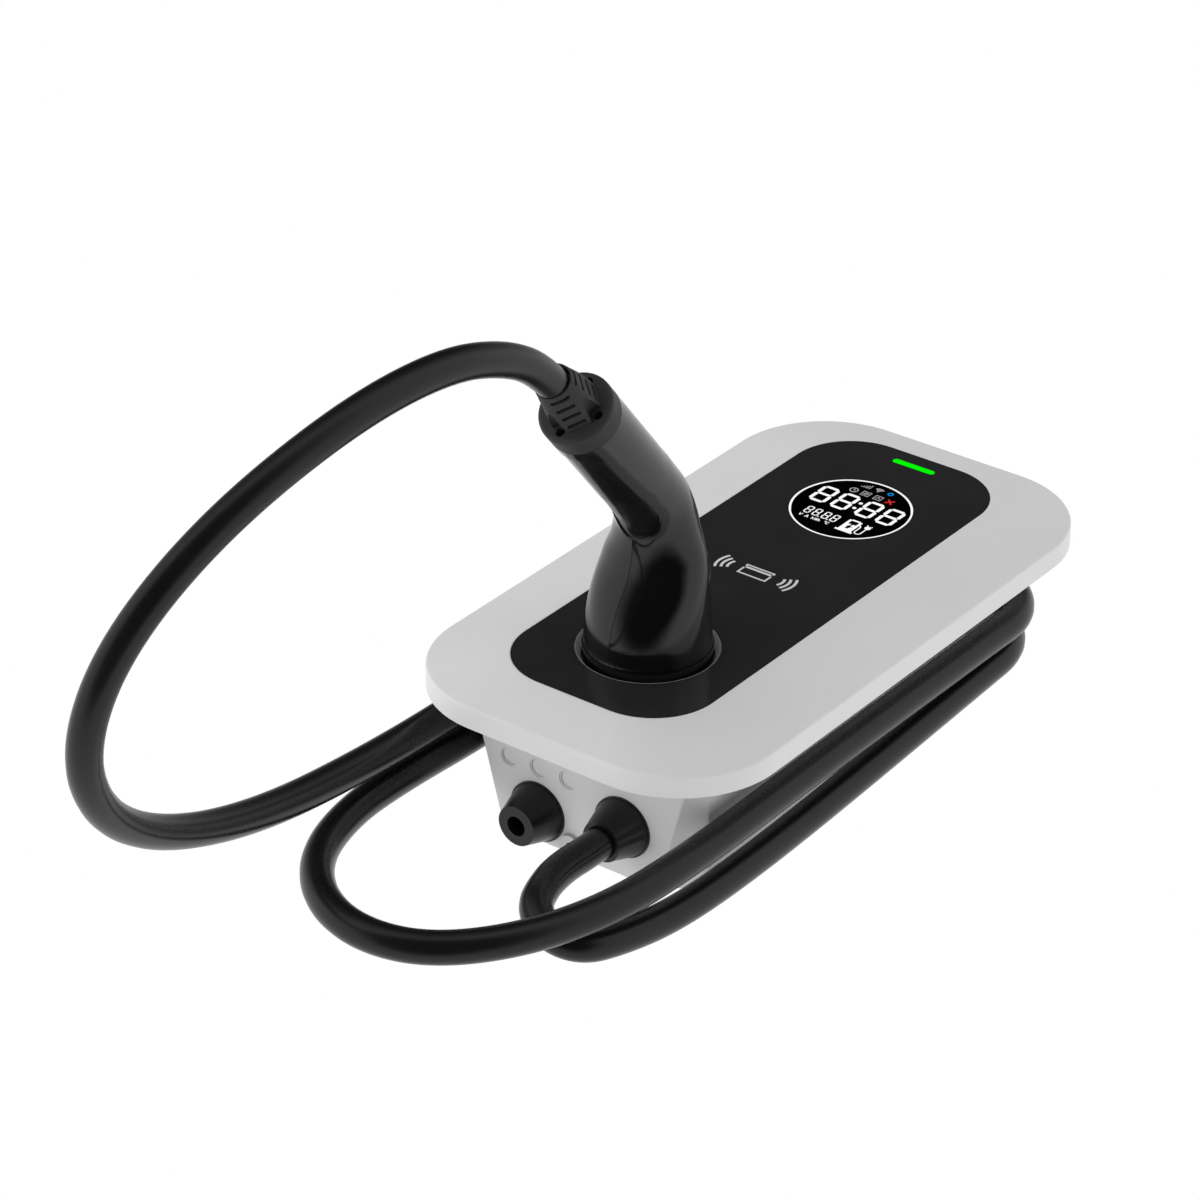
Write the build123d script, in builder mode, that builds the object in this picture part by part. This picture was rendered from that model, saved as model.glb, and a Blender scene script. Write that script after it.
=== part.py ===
from build123d import *
from math import acos, cos, radians, sin, sqrt, tan
import os

os.makedirs("parts", exist_ok=True)

# Wall charging station for electric cars: X to the right, Y into the wall, Z up, origin on the wall

# Overall and front cover
depth = 97.0
cover_width = 200.0
cover_height = 368.0
cover_corner = 57.0
cover_crown = 8.5
cover_skirt = 12.0
cover_wall = 2.6
rim_round = 1.5

# Front panel: its distance from the cover's sides and ends, its fit and the narrow lip round it
panel_side = 42.5
panel_end = 29.0
panel_corner = 35.6
panel_thickness = 3.0
panel_fit = 0.3
panel_lip = 0.9

# Round display and status light, placed from the panel's top end, and card reader antenna
display_drop = 70.6
display_radius = 31.5
display_ring_width = 1.5
display_fit = 0.2
display_seat = 1.5
light_drop = 11.0
light_length = 26.0
light_width = 4.0
light_fit = 0.2
display_board_width = 80.0
display_board_height = 100.0
display_board_over = 2.5
display_board_drop = 5.4
display_board_thickness = 1.6
display_post_radius = 2.8
display_screw_radius = 1.0
display_screw_head = 2.2
antenna_width = 70.0
antenna_margin = 13.0
antenna_thickness = 1.2

# Rear housing: a tub that narrows towards the wall, with a flange behind the cover
tub_wall = 3.0
tub_side = 25.0
tub_flare = 9.0
tub_top_gap = 47.0
tub_top_flare = 3.0
tub_low_gap = 33.5
tub_cut_back = 18.0
tub_cut_front = 6.5
crease_round = 1.2
flange_thickness = 3.0
flange_setback = 1.0
flange_fit = 0.4
knockout_radius = 5.0
knockout_depth = 1.2
knockout_rim = 0.7
knockout_reach = 43.4
knockout_side = 31.0
knockout_pitch = 18.5

# Gasket and cover screws
gasket_width = 4.0
gasket_thickness = 2.5
gasket_margin = 4.5
gasket_top_margin = 12.0
gasket_low_margin = 7.0
gasket_corner = 10.0
boss_radius = 4.0
boss_side_margin = 7.5
boss_top_margin = 12.0
boss_low_margin = 9.5
boss_side_end = 45.5
boss_end_side = 33.0
cover_screw_radius = 1.5
cover_screw_head = 3.2
cover_screw_head_height = 2.4
cover_screw_length = 7.5
screw_fit = 0.1

# Wall bracket with two hooks and a lower tongue
bracket_side = 24.0
bracket_end = 34.0
bracket_thickness = 2.0
bracket_hole_side = 12.0
bracket_hole_end = 20.0
bracket_hole_radius = 3.0
bracket_slot_width = 12.0
bracket_slot_rise = 20.0
bracket_slot_drop = 30.0
recess_margin = 6.0
recess_depth = 8.0
hook_side = 17.0
hook_end = 26.0
hook_width = 14.0
hook_slot = 3.0
hook_lip = 10.0
hanger_thickness = 2.4
hanger_height = 6.0
tongue_clear = 1.34
tongue_width = 12.0
tongue_gap = 0.2
tongue_fit = 0.4
tongue_hole_reach = 6.3
tongue_hole_radius = 2.0

# Cord glands in the bottom end of the housing
gland_cover = 1.6
gland_foot = 0.7
gland_tip = 11.0
gland_length = 18.0
gland_neck = 10.0
gland_neck_length = 12.0
gland_fit = 0.2
gland_nut_wall = 4.4
gland_nut_gap = 0.6
gland_nut_height = 5.0
supply_shift = 2.0
supply_bore = 5.5
output_shift = 3.0
output_step = 11.5
output_seat = 9.5
core_bore = 6.5

# Charging cord
cord_radius = 8.5
cord_fit = 0.3
near_lane = 26.0
lane_pitch = 19.0

# Parking socket for the plug, placed from the panel's lower end
plug_end = 60.7
socket_wall = 2.5
socket_fit = 0.3
socket_margin = 9.2
socket_flange_thickness = 3.0
socket_screw_radius = 1.2
socket_screw_head = 2.6
bezel_clear = 2.1
bezel_land = 0.2
bezel_fit = 0.3
bezel_chamfer = 2.7
bezel_chamfer_depth = 3.5

# Plug nose and contacts
nose_radius = 31.5
nose_wall = 2.5
nose_length = 42.6
collar_step = 1.5
collar_gap = 0.6
collar_thickness = 2.6
neck_step = 6.0
neck_wall = 3.0
neck_length = 9.5
carrier_fit = 0.3
power_sleeve = 4.0
signal_sleeve = 2.6

# Plug handle, rear collar and strain relief
handle_step = 0.5
handle_start = 3.5
handle_wall = 4.0
handle_seam = 0.3
tail_radius = 19.3
tail_reach = 85.6
tail_tilt = 39.4
tail_length = 82.1
grip_sink = 0.7
grip_thickness = 1.7
grip_fit = 0.2
grip_width = 32.0
grip_rear_width = 27.0
grip_corner = 8.0
grip_start = 10.5
grip_end = 6.5
grip_height = 28.0
rear_collar_length = 11.8
rear_collar_gap = 0.2
rear_collar_round = 2.4
spigot_fit = 0.9
spigot_length = 8.0
boot_length = 26.1
boot_side = 25.2
boot_corner = 4.5
boot_lip = 0.7
boot_floor = 6.1
slot_length = 10.0
slot_width = 2.3
slot_start = 3.7
slot_pitch = 6.2
slot_floor = 8.0
collar_screw_edge = 5.4
collar_screw_hole = 2.4
collar_screw_shank = 1.4
collar_web = 4.8
scoop_margin = 2.2
scoop_tip = 1.4
scoop_length = 18.0

# Main board, its place in the housing and the rows of parts on it
board_side = 11.0
board_end = 19.0
board_thickness = 1.6
board_post = 8.0
board_post_radius = 3.5
board_post_side = 9.0
board_post_end = 15.0
board_screw_radius = 1.4
board_screw_head = 2.8
socket_clear = 2.9
part_gap = 6.0
part_edge = 4.0
terminal_gap = 5.0
terminal_depth = 18.0
terminal_drop = 8.0
sensor_wall = 5.5
sensor_length = 14.0

# Widths, heights and places across the front that follow from these sizes
panel_width = cover_width - 2 * panel_side
panel_height = cover_height - 2 * panel_end
display_rise = panel_height / 2 - display_drop
light_rise = panel_height / 2 - light_drop
plug_drop = panel_height / 2 - plug_end
display_board_top = light_rise + display_board_over
tub_half_front = cover_width / 2 - tub_side
tub_half_back = tub_half_front - tub_flare
tub_top_front = cover_height / 2 - tub_top_gap
tub_top_back = tub_top_front - tub_top_flare
tub_bottom = cover_height / 2 - tub_low_gap
bracket_width = 2 * (tub_half_back - bracket_side)
bracket_height = 2 * (tub_top_back - bracket_end)
bracket_hole_x = bracket_width - 2 * bracket_hole_side
bracket_hole_z = bracket_height - 2 * bracket_hole_end
hook_spread = bracket_width - 2 * hook_side
hook_rise = bracket_height / 2 - hook_end
board_width = 2 * (tub_half_back - board_side)
board_height = 2 * (tub_top_back - board_end)

# Glands: each in the middle of its half of the end face, clear of the housing's back, and the tongue beside
gland_nut_radius = gland_neck + gland_nut_wall
gland_base = gland_nut_radius + gland_cover
gland_rim = gland_base + gland_foot
supply_x = -(tub_half_back - tub_cut_back) / 2 - supply_shift
supply_reach = gland_nut_radius + tub_wall + gland_nut_gap
output_x = (tub_half_back - tub_cut_back) / 2 + output_shift
output_reach = supply_reach + output_step
tongue_apart = gland_rim + tongue_width / 2 + tongue_clear
tongue_x = supply_x + sqrt(tongue_apart**2 - (supply_reach - tongue_hole_reach) ** 2)

# Plug and socket radii, from the nose outwards
collar_radius = nose_radius + collar_step
handle_radius = collar_radius - handle_step
neck_radius = handle_radius - neck_step
socket_radius = nose_radius + socket_fit
bezel_inner = nose_radius + bezel_clear
bezel_radius = bezel_inner + bezel_chamfer + bezel_land
bezel_hole = bezel_radius + bezel_fit
socket_flange = bezel_hole + socket_margin

# Planes and distances from the wall that follow from these sizes
rim_front = depth - cover_crown
rim_back = rim_front - cover_skirt
roof_back = rim_front - cover_wall
pocket = depth - panel_thickness
plate_back = pocket - cover_wall
flange_back = rim_back + flange_setback
flange_front = flange_back + flange_thickness
gasket_front = flange_front + gasket_thickness
board_back = recess_depth + tub_wall + board_post
board_front = board_back + board_thickness
display_board_front = plate_back - display_board_drop
display_board_back = display_board_front - display_board_thickness
nose_front = depth + collar_gap - nose_length
collar_back = depth + collar_gap
collar_front = collar_back + collar_thickness
display_hole = display_radius - display_seat
tall_part = nose_front - socket_wall - board_front - socket_clear
antenna_high = display_rise - display_hole - antenna_margin
antenna_low = socket_flange + antenna_margin - plug_drop


# Plane facing the front, a given distance from the wall
def front_plane(d):
    return Plane(origin=(0, -d, 0), x_dir=(1, 0, 0), z_dir=(0, -1, 0))


# Plane facing down, with the distance from the wall as its second direction
def below_plane(z):
    return Plane(origin=(0, 0, z), x_dir=(1, 0, 0), z_dir=(0, 0, -1))


# Plane through a gland's axis, with its second direction down from the end face
def gland_plane(x, d):
    return Plane(origin=(x, -d, -tub_bottom), x_dir=(1, 0, 0), z_dir=(0, 1, 0))


# Plane across the plug handle at a reach from the panel and a rise from the plug axis
def handle_plane(reach, rise, tilt):
    out = (0, -cos(radians(tilt)), -sin(radians(tilt)))
    return Plane(origin=(0, -(depth + reach), rise - plug_drop), x_dir=(1, 0, 0), z_dir=out)


# Plane across the sloping tail of the plug, at a distance along it
def tail_plane(s):
    along = radians(tail_tilt)
    return handle_plane(tail_reach + s * cos(along), -s * sin(along), tail_tilt)


# Corners of the tub at a distance from the wall, inset for the inside
def tub_outline(d, inset):
    share = d / flange_back
    half = tub_half_back + (tub_half_front - tub_half_back) * share - inset
    top = tub_top_back + (tub_top_front - tub_top_back) * share - inset
    cut = tub_cut_back + (tub_cut_front - tub_cut_back) * share - inset * (2 - sqrt(2))
    low = inset - tub_bottom
    right = [(half - cut, low), (half, low + cut), (half, top - cut), (half - cut, top)]
    left = [(cut - half, top), (-half, top - cut), (-half, low + cut), (cut - half, low)]
    return right + left


# Cover sizes inside its wall and round the panel
in_width = cover_width - 2 * cover_wall
in_height = cover_height - 2 * cover_wall
in_corner = cover_corner - cover_wall
pocket_width = panel_width + 2 * panel_fit
pocket_height = panel_height + 2 * panel_fit
top_width = pocket_width + 2 * panel_lip
top_height = pocket_height + 2 * panel_lip
top_corner = panel_corner + panel_fit + panel_lip
roof_share = (cover_crown - panel_thickness) / cover_crown
roof_width = in_width + (top_width - in_width) * roof_share
roof_height = in_height + (top_height - in_height) * roof_share
roof_corner = in_corner + (top_corner - in_corner) * roof_share

# Gasket outline, centred on its own middle
gasket_half = tub_half_front + gasket_margin
gasket_top = tub_top_front + gasket_top_margin
gasket_low = -tub_bottom - gasket_low_margin
gasket_mid = (gasket_top + gasket_low) / 2
gasket_tall = gasket_top - gasket_low
gasket_wide = 2 * gasket_half

# Places of screws and posts
side_screw = gasket_half + boss_side_margin
side_rise = tub_bottom - boss_side_end
end_screw = tub_half_front - boss_end_side
top_screw = gasket_top + boss_top_margin
low_screw = gasket_low - boss_low_margin
side_screws = [(x, z) for x in (-side_screw, side_screw) for z in (-side_rise, 0, side_rise)]
end_screws = [(x, z) for x in (-end_screw, end_screw) for z in (low_screw, top_screw)]
cover_screw_places = side_screws + end_screws
board_x = board_width / 2 - board_post_side
board_z = board_height / 2 - board_post_end
board_screw_places = [(x, z) for x in (-board_x, board_x) for z in (-board_z, board_z)]
display_mid = display_board_top - display_board_height / 2
display_post_x = display_board_width / 2 - 4
display_post_z = display_board_height / 2 - 4.5
display_post_ends = (display_mid - display_post_z, display_mid + display_post_z)
display_post_places = [(x, z) for x in (-display_post_x, display_post_x) for z in display_post_ends]
socket_screw = (socket_flange + bezel_hole) / 2 / sqrt(2)
socket_screw_places = [
    (x, z - plug_drop) for x in (-socket_screw, socket_screw) for z in (-socket_screw, socket_screw)
]

# Hollow of the front cover, leaving the gasket rib, screw bosses and board posts standing
with BuildPart() as cover_hollow:
    with BuildSketch(front_plane(rim_back)):
        RectangleRounded(in_width, in_height, in_corner)
    extrude(amount=roof_back - rim_back)
    with BuildSketch(front_plane(roof_back)):
        RectangleRounded(in_width, in_height, in_corner)
    with BuildSketch(front_plane(plate_back)):
        RectangleRounded(roof_width, roof_height, roof_corner)
    loft(ruled=True)
    with BuildSketch(front_plane(gasket_front)):
        with Locations((0, gasket_mid)):
            RectangleRounded(gasket_wide + 3, gasket_tall + 3, gasket_corner + 1.5)
            RectangleRounded(gasket_wide - 1, gasket_tall - 1, gasket_corner - 0.5, mode=Mode.SUBTRACT)
    extrude(amount=depth - gasket_front, mode=Mode.SUBTRACT)
    with BuildSketch(front_plane(flange_front)):
        with Locations(*cover_screw_places):
            Circle(boss_radius)
    extrude(amount=depth - flange_front, mode=Mode.SUBTRACT)
    with BuildSketch(front_plane(display_board_front)):
        with Locations(*display_post_places):
            Circle(display_post_radius)
    extrude(amount=depth - display_board_front, mode=Mode.SUBTRACT)

# Front cover
with BuildPart() as front_cover:
    with BuildSketch(front_plane(rim_back)):
        RectangleRounded(cover_width, cover_height, cover_corner)
    extrude(amount=cover_skirt)
    with BuildSketch(front_plane(rim_front)):
        RectangleRounded(cover_width, cover_height, cover_corner)
    with BuildSketch(front_plane(depth)):
        RectangleRounded(top_width, top_height, top_corner)
    loft(ruled=True)
    rim_edges = front_cover.edges().filter_by(lambda e: abs(e.center().Y + rim_front) < 0.01)
    fillet(rim_edges, radius=rim_round)
    add(cover_hollow.part, mode=Mode.SUBTRACT)
    with BuildSketch(front_plane(pocket)):
        RectangleRounded(pocket_width, pocket_height, panel_corner + panel_fit)
    extrude(amount=panel_thickness + 1, mode=Mode.SUBTRACT)
    with BuildSketch(front_plane(plate_back - 1)):
        with Locations((0, display_rise)):
            Circle(display_hole)
        with Locations((0, -plug_drop)):
            Circle(bezel_hole)
        with Locations((0, light_rise)):
            SlotOverall(light_length + 2 * light_fit, light_width + 2 * light_fit)
    extrude(amount=cover_wall + 2, mode=Mode.SUBTRACT)
    with BuildSketch(front_plane(flange_front)):
        with Locations(*cover_screw_places):
            Circle(cover_screw_radius + screw_fit)
    extrude(amount=cover_screw_length, mode=Mode.SUBTRACT)
    with BuildSketch(front_plane(display_board_front)):
        with Locations(*display_post_places):
            Circle(display_screw_radius + screw_fit)
    extrude(amount=display_board_drop - 0.9, mode=Mode.SUBTRACT)
    with BuildSketch(front_plane(plate_back)):
        with Locations(*socket_screw_places):
            Circle(socket_screw_radius + screw_fit)
    extrude(amount=cover_wall - 0.6, mode=Mode.SUBTRACT)
front_cover.part.label = "front_cover"
export_step(front_cover.part, "parts/front_cover.step")

# Front panel
with BuildPart() as front_panel:
    with BuildSketch(front_plane(pocket)):
        RectangleRounded(panel_width, panel_height, panel_corner)
        with Locations((0, display_rise)):
            Circle(display_radius + display_ring_width + 2 * display_fit, mode=Mode.SUBTRACT)
        with Locations((0, -plug_drop)):
            Circle(bezel_hole, mode=Mode.SUBTRACT)
        with Locations((0, light_rise)):
            SlotOverall(light_length + 2 * light_fit, light_width + 2 * light_fit, mode=Mode.SUBTRACT)
    extrude(amount=panel_thickness)
front_panel.part.label = "front_panel"
export_step(front_panel.part, "parts/front_panel.step")

# Ring round the display
with BuildPart() as display_ring:
    with BuildSketch(front_plane(pocket)):
        with Locations((0, display_rise)):
            Circle(display_radius + display_fit + display_ring_width)
            Circle(display_radius + display_fit, mode=Mode.SUBTRACT)
    extrude(amount=panel_thickness)
display_ring.part.label = "display_ring"
export_step(display_ring.part, "parts/display_ring.step")

# Round display window
with BuildPart() as display_window:
    with BuildSketch(front_plane(pocket)):
        with Locations((0, display_rise)):
            Circle(display_radius)
    extrude(amount=panel_thickness)
display_window.part.label = "display_window"
export_step(display_window.part, "parts/display_window.step")

# Status light pipe
with BuildPart() as status_light:
    with BuildSketch(front_plane(display_board_front)):
        with Locations((0, light_rise)):
            SlotOverall(light_length, light_width)
    extrude(amount=depth - display_board_front)
status_light.part.label = "status_light"
export_step(status_light.part, "parts/status_light.step")

# Display board with the display module behind the window
with BuildPart() as display_board:
    with BuildSketch(front_plane(display_board_back)):
        with Locations((0, display_mid)):
            Rectangle(display_board_width, display_board_height)
        with Locations(*display_post_places):
            Circle(display_screw_radius + 2 * screw_fit, mode=Mode.SUBTRACT)
    extrude(amount=display_board_thickness)
    with BuildSketch(front_plane(display_board_front)):
        with Locations((0, display_rise)):
            Circle(display_hole - 1)
    extrude(amount=pocket - display_board_front - 0.3)
display_board.part.label = "display_board"
export_step(display_board.part, "parts/display_board.step")

# Screws of the display board
with BuildPart() as display_screws:
    with BuildSketch(front_plane(display_board_back)):
        with Locations(*display_post_places):
            Circle(display_screw_head)
    extrude(amount=-1.6)
    with BuildSketch(front_plane(display_board_back)):
        with Locations(*display_post_places):
            Circle(display_screw_radius)
    extrude(amount=display_board_thickness + display_board_drop - 1.4)
display_screws.part.label = "display_screws"
export_step(display_screws.part, "parts/display_screws.step")

# Card reader antenna on the back of the cover's plate
with BuildPart() as card_antenna:
    with BuildSketch(front_plane(plate_back)):
        with Locations((0, (antenna_high + antenna_low) / 2)):
            Rectangle(antenna_width, antenna_high - antenna_low)
    extrude(amount=-antenna_thickness)
card_antenna.part.label = "card_antenna"
export_step(card_antenna.part, "parts/card_antenna.step")

# Rear housing
recess_half = bracket_width / 2 + recess_margin
recess_high = bracket_height / 2 + recess_margin
channel_half = tongue_width / 2 + tongue_fit
channel_depth = bracket_thickness + tongue_fit
channel_mid = -(recess_high + tub_bottom) / 2
knockout_x = knockout_side - tub_half_front
knockout_places = [(knockout_x + knockout_pitch * n, knockout_reach) for n in (0, 1, 2)]
with BuildPart() as rear_housing:
    with BuildSketch(front_plane(0)):
        Polygon(*tub_outline(0, 0), align=None)
    with BuildSketch(front_plane(flange_back)):
        Polygon(*tub_outline(flange_back, 0), align=None)
    loft(ruled=True)
    outer_edges = rear_housing.edges().filter_by(lambda e: e.center().Y > 0.1 - flange_back)
    fillet(outer_edges, radius=crease_round)
    with BuildSketch(front_plane(flange_back)):
        RectangleRounded(in_width - 2 * flange_fit, in_height - 2 * flange_fit, in_corner - flange_fit)
    extrude(amount=flange_thickness)
    with BuildSketch(front_plane(tub_wall)):
        Polygon(*tub_outline(tub_wall, tub_wall), align=None)
    with BuildSketch(front_plane(flange_front)):
        Polygon(*tub_outline(flange_front, tub_wall), align=None)
    loft(ruled=True, mode=Mode.SUBTRACT)
    with BuildSketch(front_plane(tub_wall / 2)):
        Rectangle(2 * (recess_half + tub_wall), 2 * (recess_high + tub_wall))
    extrude(amount=recess_depth + tub_wall / 2)
    with BuildSketch(front_plane(tub_wall / 2)):
        with Locations((tongue_x, channel_mid)):
            Rectangle(2 * (channel_half + tub_wall), tub_bottom - recess_high - tub_wall)
    extrude(amount=channel_depth + tub_wall / 2)
    with BuildSketch(front_plane(tub_wall / 2)):
        with Locations(*board_screw_places):
            Circle(board_post_radius)
    extrude(amount=board_back - tub_wall / 2)
    with BuildSketch(front_plane(-1)):
        Rectangle(2 * recess_half, 2 * recess_high)
    extrude(amount=recess_depth + 1, mode=Mode.SUBTRACT)
    with BuildSketch(front_plane(-1)):
        with Locations((tongue_x, channel_mid)):
            Rectangle(2 * channel_half, tub_bottom - recess_high + 4)
    extrude(amount=channel_depth + 1, mode=Mode.SUBTRACT)
    with BuildSketch(front_plane(bracket_thickness + (hook_slot - hanger_thickness) / 2)):
        with Locations((0, hook_rise + hanger_height / 2)):
            Rectangle(2 * recess_half + 2, hanger_height)
    extrude(amount=hanger_thickness)
    with BuildSketch(front_plane(board_back)):
        with Locations(*board_screw_places):
            Circle(board_screw_radius + screw_fit)
    extrude(amount=-board_post + 0.5, mode=Mode.SUBTRACT)
    with BuildSketch(below_plane(-tub_bottom)):
        with Locations((supply_x, supply_reach), (output_x, output_reach)):
            Circle(gland_neck + gland_fit)
    extrude(amount=-tub_wall - 1, mode=Mode.SUBTRACT)
    with BuildSketch(below_plane(-tub_bottom)):
        with Locations(*knockout_places):
            Circle(knockout_radius)
    extrude(amount=-knockout_depth, mode=Mode.SUBTRACT)
    with BuildSketch(below_plane(-tub_bottom)):
        with Locations(*knockout_places):
            Circle(knockout_radius + knockout_rim)
    extrude(amount=-knockout_depth / 3, mode=Mode.SUBTRACT)
    with BuildSketch(front_plane(flange_back)):
        with Locations(*cover_screw_places):
            Circle(cover_screw_radius + 4 * screw_fit)
    extrude(amount=flange_thickness, mode=Mode.SUBTRACT)
rear_housing.part.label = "rear_housing"
export_step(rear_housing.part, "parts/rear_housing.step")

# Gasket between the housing and the cover
with BuildPart() as cover_gasket:
    with BuildSketch(front_plane(flange_front)):
        with Locations((0, gasket_mid)):
            RectangleRounded(gasket_wide + gasket_width, gasket_tall + gasket_width, gasket_corner + 2)
            RectangleRounded(
                gasket_wide - gasket_width,
                gasket_tall - gasket_width,
                gasket_corner - 2,
                mode=Mode.SUBTRACT,
            )
    extrude(amount=gasket_thickness)
cover_gasket.part.label = "cover_gasket"
export_step(cover_gasket.part, "parts/cover_gasket.step")

# Cover screws, put in from behind
with BuildPart() as cover_screws:
    with BuildSketch(front_plane(flange_back)):
        with Locations(*cover_screw_places):
            Circle(cover_screw_head)
    extrude(amount=-cover_screw_head_height)
    with BuildSketch(front_plane(flange_back - cover_screw_head_height)):
        with Locations(*cover_screw_places):
            RegularPolygon(cover_screw_head - 1.4, 6)
    extrude(amount=cover_screw_head_height - 1, mode=Mode.SUBTRACT)
    with BuildSketch(front_plane(flange_back)):
        with Locations(*cover_screw_places):
            Circle(cover_screw_radius)
    extrude(amount=flange_thickness + cover_screw_length - 0.5)
cover_screws.part.label = "cover_screws"
export_step(cover_screws.part, "parts/cover_screws.step")

# Wall bracket
tongue_top = -tub_bottom - tongue_gap
tongue_low = tongue_top - bracket_thickness
with BuildPart() as wall_bracket:
    with BuildSketch(front_plane(0)):
        RectangleRounded(bracket_width, bracket_height, 5)
        with Locations((tongue_x, (tongue_low - bracket_height / 2) / 2)):
            Rectangle(tongue_width, -tongue_low - bracket_height / 2 + 0.01)
        with GridLocations(bracket_hole_x, bracket_hole_z, 2, 2):
            Circle(bracket_hole_radius, mode=Mode.SUBTRACT)
        with Locations((0, bracket_slot_rise), (0, -bracket_slot_drop)):
            SlotOverall(hook_spread, bracket_slot_width, mode=Mode.SUBTRACT)
    extrude(amount=bracket_thickness)
    with BuildSketch(front_plane(bracket_thickness)):
        with GridLocations(hook_spread, 0, 2, 1):
            with Locations((0, hook_rise - bracket_thickness / 2)):
                Rectangle(hook_width, bracket_thickness)
    extrude(amount=hook_slot + bracket_thickness)
    with BuildSketch(front_plane(bracket_thickness + hook_slot)):
        with GridLocations(hook_spread, 0, 2, 1):
            with Locations((0, hook_rise - bracket_thickness + (hook_lip + bracket_thickness) / 2)):
                Rectangle(hook_width, hook_lip + bracket_thickness)
    extrude(amount=bracket_thickness)
    with BuildSketch(below_plane(tongue_top)):
        with Locations((tongue_x, tongue_hole_reach / 2)):
            Rectangle(tongue_width, tongue_hole_reach)
        with Locations((tongue_x, tongue_hole_reach)):
            Circle(tongue_width / 2)
            Circle(tongue_hole_radius, mode=Mode.SUBTRACT)
    extrude(amount=bracket_thickness)
wall_bracket.part.label = "wall_bracket"
export_step(wall_bracket.part, "parts/wall_bracket.step")

# Supply gland, left open for the supply cable
with BuildPart() as supply_gland:
    with BuildSketch(gland_plane(supply_x, supply_reach)):
        Polygon(
            (supply_bore, -gland_neck_length),
            (gland_neck, -gland_neck_length),
            (gland_neck, 0),
            (gland_rim, 0),
            (gland_rim, 1.2),
            (gland_base, 1.2),
            (gland_tip, gland_length),
            (supply_bore, gland_length),
            align=None,
        )
    revolve(axis=Axis((supply_x, -supply_reach, 0), (0, 0, 1)))
supply_gland.part.label = "supply_gland"
export_step(supply_gland.part, "parts/supply_gland.step")

# Output gland, with a seat for the charging cord
with BuildPart() as output_gland:
    with BuildSketch(gland_plane(output_x, output_reach)):
        Polygon(
            (core_bore, -gland_neck_length),
            (gland_neck, -gland_neck_length),
            (gland_neck, 0),
            (gland_rim, 0),
            (gland_rim, 1.2),
            (gland_base, 1.2),
            (gland_tip, gland_length),
            (cord_radius + cord_fit, gland_length),
            (cord_radius + cord_fit, output_seat),
            (core_bore, output_seat),
            align=None,
        )
    revolve(axis=Axis((output_x, -output_reach, 0), (0, 0, 1)))
output_gland.part.label = "output_gland"
export_step(output_gland.part, "parts/output_gland.step")

# Nuts that hold the glands from inside
with BuildPart() as gland_nuts:
    with BuildSketch(below_plane(tub_wall - tub_bottom)):
        with Locations((supply_x, supply_reach), (output_x, output_reach)):
            RegularPolygon(gland_nut_radius, 6)
            Circle(gland_neck + gland_fit, mode=Mode.SUBTRACT)
    extrude(amount=-gland_nut_height)
gland_nuts.part.label = "gland_nuts"
export_step(gland_nuts.part, "parts/gland_nuts.step")

# Main board
with BuildPart() as main_board:
    with BuildSketch(front_plane(board_back)):
        Rectangle(board_width, board_height)
        with Locations(*board_screw_places):
            Circle(board_screw_radius + screw_fit, mode=Mode.SUBTRACT)
    extrude(amount=board_thickness)
main_board.part.label = "main_board"
export_step(main_board.part, "parts/main_board.step")

# Screws of the main board
with BuildPart() as board_screws:
    with BuildSketch(front_plane(board_front)):
        with Locations(*board_screw_places):
            Circle(board_screw_head)
    extrude(amount=2)
    with BuildSketch(front_plane(board_front)):
        with Locations(*board_screw_places):
            Circle(board_screw_radius)
    extrude(amount=-board_thickness - board_post + 1.5)
board_screws.part.label = "board_screws"
export_step(board_screws.part, "parts/board_screws.step")

# Terminals between the lower screws, and four rows of parts in two columns above them
terminal_width = board_x - 2 * terminal_gap
terminal_x = terminal_gap + terminal_width / 2
terminal_z = -board_z
terminal_top = terminal_z + terminal_depth / 2 + 1
terminal_height = tall_part - terminal_drop
wire_reach = board_front + terminal_height / 2 - 1.5
clamp_pitch = terminal_width / 5
clamp_steps = [clamp_pitch * n for n in (-2, -1, 0, 1, 2)]
row_low = terminal_top + part_gap
row_high = board_z - board_screw_head - part_gap
row_height = (row_high - row_low - 3 * part_gap) / 4
row_mids = [row_low + row_height / 2 + n * (row_height + part_gap) for n in (0, 1, 2, 3)]
column_width = board_width / 2 - part_edge - part_gap / 2
column_x = (column_width + part_gap) / 2

# Supply terminals: five clamps with wire holes below and screws in front
with BuildPart() as supply_terminals:
    with BuildSketch(front_plane(board_front)):
        with Locations((-terminal_x, terminal_z + 1)):
            Rectangle(terminal_width, terminal_depth)
    extrude(amount=terminal_height)
    with BuildSketch(front_plane(board_front + terminal_height)):
        with Locations(*[(step - terminal_x, terminal_z + 3) for step in clamp_steps]):
            Circle((clamp_pitch - 2.8) / 2)
    extrude(amount=-terminal_height / 5, mode=Mode.SUBTRACT)
    with BuildSketch(below_plane(terminal_z + 1 - terminal_depth / 2)):
        with Locations(*[(step - terminal_x, wire_reach) for step in clamp_steps]):
            Rectangle(clamp_pitch - 2, terminal_height / 3)
    extrude(amount=-terminal_depth / 2 - 1, mode=Mode.SUBTRACT)
supply_terminals.part.label = "supply_terminals"
export_step(supply_terminals.part, "parts/supply_terminals.step")

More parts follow.
